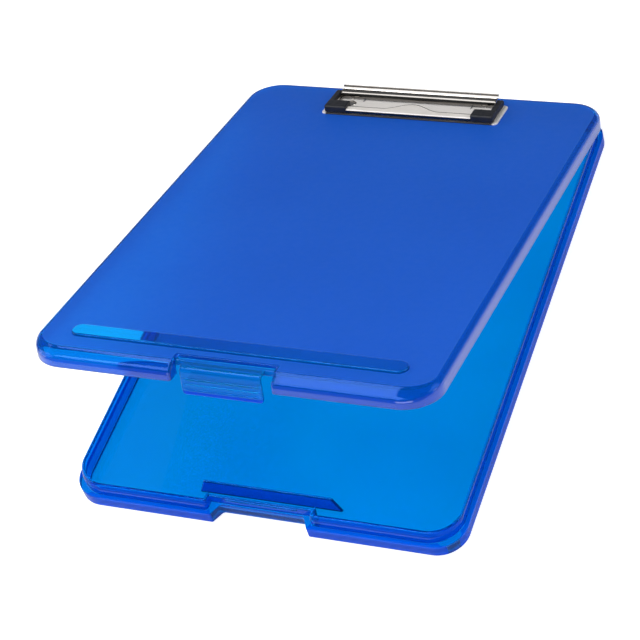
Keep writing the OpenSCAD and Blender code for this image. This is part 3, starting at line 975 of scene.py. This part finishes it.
def make_camera():
    """Sets the camera. at lies off the line through target by the two shifts, in millimetres."""
    azimuth, elevation, roll = (math.radians(a) for a in (33.073, 46.217, -18.935))
    back = Vector((math.sin(azimuth) * math.cos(elevation), -math.cos(azimuth) * math.cos(elevation),
                   math.sin(elevation)))
    level = Vector((math.cos(azimuth), math.sin(azimuth), 0))
    rise = back.cross(level)
    right = level * math.cos(roll) + rise * math.sin(roll)
    up = rise * math.cos(roll) - level * math.sin(roll)
    target = Vector((2, 6.5, 15))
    at = target + back * 1258.411 - right * 20.43 - up * 21.78
    data = bpy.data.cameras.new("camera")
    data.lens = 118.71
    data.sensor_width = 36
    data.clip_start = 0.05
    camera = bpy.data.objects.new("camera", data)
    camera.matrix_world = Matrix.Translation(at * MM) @ Matrix((right, up, back)).transposed().to_4x4()
    bpy.context.scene.collection.objects.link(camera)
    bpy.context.scene.camera = camera


FLOOR_GLOW, MIRRORED_GLOW = 0.75, 0.1


def make_floor():
    """Pale floor that glows softly, and less in mirror reflections."""
    bm = bmesh.new()
    bmesh.ops.create_grid(bm, x_segments=8, y_segments=8, size=4)
    mesh = bpy.data.meshes.new("floor")
    bm.to_mesh(mesh)
    bm.free()
    floor = bpy.data.objects.new("floor", mesh)
    floor.location.z = -0.0003
    n = Nodes("floor_paper")
    n.ramp(n.noise(3, 2), [(0.3, (0.86, 0.86, 0.86)), (0.7, (0.88, 0.88, 0.88))])
    n.set(Roughness=0.9, Emission_Color=(1, 1, 1, 1), Specular_IOR_Level=0.1)
    rays = n.new("ShaderNodeLightPath")
    mirrored = n.new("ShaderNodeMath", operation="SUBTRACT")
    n.link(rays.outputs["Is Glossy Ray"], mirrored.inputs[0])
    n.link(rays.outputs["Is Transmission Ray"], mirrored.inputs[1])
    n.spread(mirrored.outputs["Value"], FLOOR_GLOW, MIRRORED_GLOW, "Emission Strength", 0, 1)
    mesh.materials.append(n.material)
    bpy.context.scene.collection.objects.link(floor)


def softbox(name, at, target, width, height, power, colour=(1, 1, 1)):
    data = bpy.data.lights.new(name, "AREA")
    data.shape = "RECTANGLE"
    data.size, data.size_y = width, height
    data.energy = power
    data.color = colour
    light = bpy.data.objects.new(name, data)
    light.location = at
    light.rotation_euler = (Vector(target) - Vector(at)).to_track_quat("-Z", "Y").to_euler()
    bpy.context.scene.collection.objects.link(light)


def make_lights():
    softbox("softbox_top", (-0.45, -0.35, 1.7), (0, 0, 0), 1.3, 0.7, 17)
    softbox("softbox_left", (-1.5, -0.3, 0.8), (0, 0, 0.05), 0.9, 1.4, 9)
    softbox("softbox_front", (0.3, -1.7, 0.7), (0, 0, 0.05), 1.4, 0.7, 8)
    softbox("softbox_right", (1.5, 0.3, 0.9), (0, 0, 0.05), 0.8, 1.2, 8)
    world = bpy.data.worlds.new("studio")
    world.use_nodes = True
    background = world.node_tree.nodes["Background"]
    background.inputs["Color"].default_value = (0.9, 0.94, 1.0, 1)
    background.inputs["Strength"].default_value = 0.15
    bpy.context.scene.world = world


# ---- Build ----

make_camera()
make_floor()
make_lights()
bpy.context.scene.view_settings.view_transform = "Standard"

panel_blue = clear_plastic("panel_blue", (0.0, 0.32, 0.80), (0.0, 0.28, 0.76), 0.92)
# Deeper copies of the blue plastic for the tray's rim and lower band, and for the flap's lowest strip:
# painted shade.
wall_blue_painted_shade = clear_plastic("wall_blue_painted_shade", (0.0, 0.20, 0.82), (0.0, 0.17, 0.76), 0.85, specular=0.25)
edge_blue_painted_shade = clear_plastic("edge_blue_painted_shade", (0.0, 0.11, 0.88), (0.0, 0.085, 0.80), 0.5, specular=0.12)
# Deeper copies of the blue plastic for the lid's rounded edges and skirt: painted shade.
fillet_blue_painted_shade = clear_plastic("fillet_blue_painted_shade", (0.0, 0.20, 0.76), (0.0, 0.17, 0.70), 0.75)
skirt_blue_painted_shade = clear_plastic("skirt_blue_painted_shade", (0.005, 0.13, 0.74), (0.005, 0.10, 0.68), 0.6, WHITE_SHINE, 0.8)
flap_blue = clear_plastic("flap_blue", (0.0, 0.38, 0.88), (0.0, 0.33, 0.84), 0.75, wave=0.0)
writing_blue = frosted_plastic("writing_blue", (0.020, 0.19, 0.92), (0.017, 0.175, 0.88))
nickel = nickel_plate("nickel_plate")
# A lighter copy of the nickel: painted light, besides its real satin roughness.
satin_nickel_painted_light = nickel_plate("nickel_satin_painted_light", 1.28, 0.3, 0.08)
# The base plate's nickel carries painted shade under the front bar.
base_nickel_painted_shade = plate_nickel_painted_shade("nickel_base_painted_shade", 0.95)
# The roll's nickel is a dimmed copy of the plating: painted shade.
roll_nickel_painted_shade = nickel_plate("nickel_roll_painted_shade", 0.6)
# The lip's nickel is a near-black copy of the plating: painted shade.
lip_nickel_painted_shade = nickel_plate("nickel_lip_painted_shade", 0.10)
# The fold's nickel is a dark copy of the plating: painted shade.
fold_nickel_painted_shade = nickel_plate("nickel_fold_painted_shade", 0.2)
steel = drawn_steel("drawn_steel")
rubber = pad_rubber("black_rubber")

make_tray([panel_blue, wall_blue_painted_shade, edge_blue_painted_shade])
make_hinge_pins(steel)
make_lid([panel_blue, writing_blue, fillet_blue_painted_shade, skirt_blue_painted_shade])
make_latch([flap_blue, edge_blue_painted_shade])
make_base_plate(base_nickel_painted_shade)
make_rivets(nickel)
make_rod(steel)
make_springs(steel)
make_jaw(roll_nickel_painted_shade, satin_nickel_painted_light, lip_nickel_painted_shade, fold_nickel_painted_shade)
make_pads(rubber)
